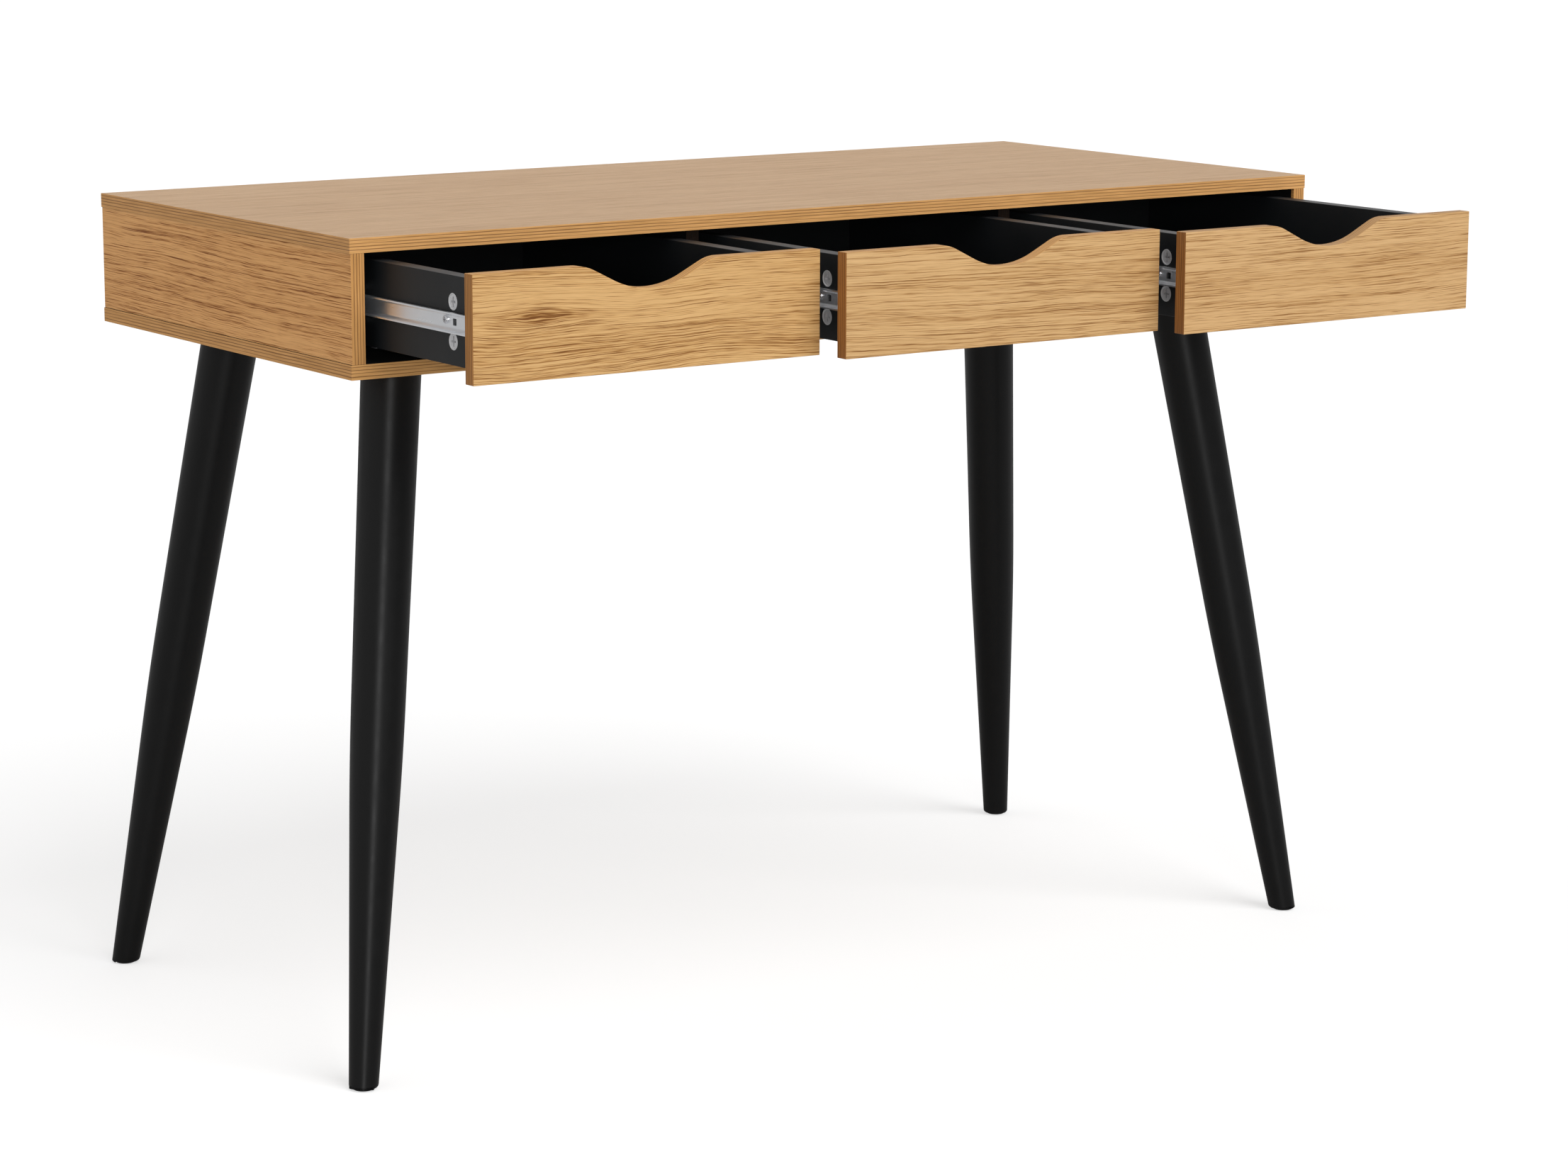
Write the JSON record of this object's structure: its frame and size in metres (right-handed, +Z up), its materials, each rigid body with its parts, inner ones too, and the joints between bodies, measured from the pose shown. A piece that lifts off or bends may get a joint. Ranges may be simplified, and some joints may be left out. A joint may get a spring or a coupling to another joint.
{
  "type": "writing desk with drawers",
  "caption": "Writing desk: a flat oak plywood case on splayed black turned legs, with side-by-side drawers on ball-bearing runners and scooped finger pulls.",
  "frame": {"origin": "on the floor, at the middle of the box round the desk with its drawers as far open as they are at rest", "axes": "+X along the desk's width, to the right of someone sitting at it; -Y towards that person, the way the drawers open; +Z up"},
  "size_m": [1.1236, 0.764, 0.77],
  "materials": {
    "oak_plywood": "oak veneer under satin lacquer, with the plies showing on every cut edge",
    "black_melamine": "black melamine-faced board, satin, with thin edging",
    "black_lacquer": "turned beech under satin black lacquer",
    "zinc_steel": "bright zinc plate",
    "brass_insert": "plain turned",
    "beech": "plain, fluted dowel rod",
    "black_glide": "dense felt-like plastic pad"
  },
  "bodies": {
    "case": {"back_panel": "oak_plywood", "back_panel_screws": "zinc_steel", "bottom_board": "oak_plywood", "case_cam_fittings": "zinc_steel", "case_dowels": "beech", "divider_left": "oak_plywood", "divider_right": "oak_plywood", "drawer_1_outer_runner_left": "zinc_steel", "drawer_1_outer_runner_right": "zinc_steel", "drawer_2_outer_runner_left": "zinc_steel", "drawer_2_outer_runner_right": "zinc_steel", "drawer_3_outer_runner_left": "zinc_steel", "drawer_3_outer_runner_right": "zinc_steel", "foot_glides": "black_glide", "leg_back_left": "black_lacquer", "leg_back_right": "black_lacquer", "leg_bolts": "zinc_steel", "leg_front_left": "black_lacquer", "leg_front_right": "black_lacquer", "leg_inserts": "brass_insert", "outer_runner_screws": "zinc_steel", "side_panel_left": "oak_plywood", "side_panel_right": "oak_plywood", "top_board": "oak_plywood"},
    "drawer_1": {"drawer_1_back": "black_melamine", "drawer_1_back_screws": "zinc_steel", "drawer_1_bottom": "black_melamine", "drawer_1_cam_fittings": "zinc_steel", "drawer_1_front": "oak_plywood", "drawer_1_inner_runner_left": "zinc_steel", "drawer_1_inner_runner_right": "zinc_steel", "drawer_1_inner_runner_screws": "zinc_steel", "drawer_1_side_left": "black_melamine", "drawer_1_side_right": "black_melamine"},
    "drawer_1_cages": {"drawer_1_ball_cages": "zinc_steel"},
    "drawer_2": {"drawer_2_back": "black_melamine", "drawer_2_back_screws": "zinc_steel", "drawer_2_bottom": "black_melamine", "drawer_2_cam_fittings": "zinc_steel", "drawer_2_front": "oak_plywood", "drawer_2_inner_runner_left": "zinc_steel", "drawer_2_inner_runner_right": "zinc_steel", "drawer_2_inner_runner_screws": "zinc_steel", "drawer_2_side_left": "black_melamine", "drawer_2_side_right": "black_melamine"},
    "drawer_2_cages": {"drawer_2_ball_cages": "zinc_steel"},
    "drawer_3": {"drawer_3_back": "black_melamine", "drawer_3_back_screws": "zinc_steel", "drawer_3_bottom": "black_melamine", "drawer_3_cam_fittings": "zinc_steel", "drawer_3_front": "oak_plywood", "drawer_3_inner_runner_left": "zinc_steel", "drawer_3_inner_runner_right": "zinc_steel", "drawer_3_inner_runner_screws": "zinc_steel", "drawer_3_side_left": "black_melamine", "drawer_3_side_right": "black_melamine"},
    "drawer_3_cages": {"drawer_3_ball_cages": "zinc_steel"}
  },
  "joints": [
    {"name": "drawer_1_slide", "type": "slide", "parent": "case", "child": "drawer_1", "axis": [0, -1, 0], "range_m": [-0.1825, 0.1525]},
    {"name": "drawer_1_cage_slide", "type": "slide", "parent": "case", "child": "drawer_1_cages", "axis": [0, -1, 0], "range_m": [-0.09125, 0.07625]},
    {"name": "drawer_2_slide", "type": "slide", "parent": "case", "child": "drawer_2", "axis": [0, -1, 0], "range_m": [-0.2197, 0.1153]},
    {"name": "drawer_2_cage_slide", "type": "slide", "parent": "case", "child": "drawer_2_cages", "axis": [0, -1, 0], "range_m": [-0.10985, 0.05765]},
    {"name": "drawer_3_slide", "type": "slide", "parent": "case", "child": "drawer_3", "axis": [0, -1, 0], "range_m": [-0.2541, 0.0809]},
    {"name": "drawer_3_cage_slide", "type": "slide", "parent": "case", "child": "drawer_3_cages", "axis": [0, -1, 0], "range_m": [-0.12705, 0.04045]}
  ],
  "couplings": [
    {"joint": "drawer_1_cage_slide", "follows": "drawer_1_slide", "ratio": 0.5},
    {"joint": "drawer_2_cage_slide", "follows": "drawer_2_slide", "ratio": 0.5},
    {"joint": "drawer_3_cage_slide", "follows": "drawer_3_slide", "ratio": 0.5}
  ]
}
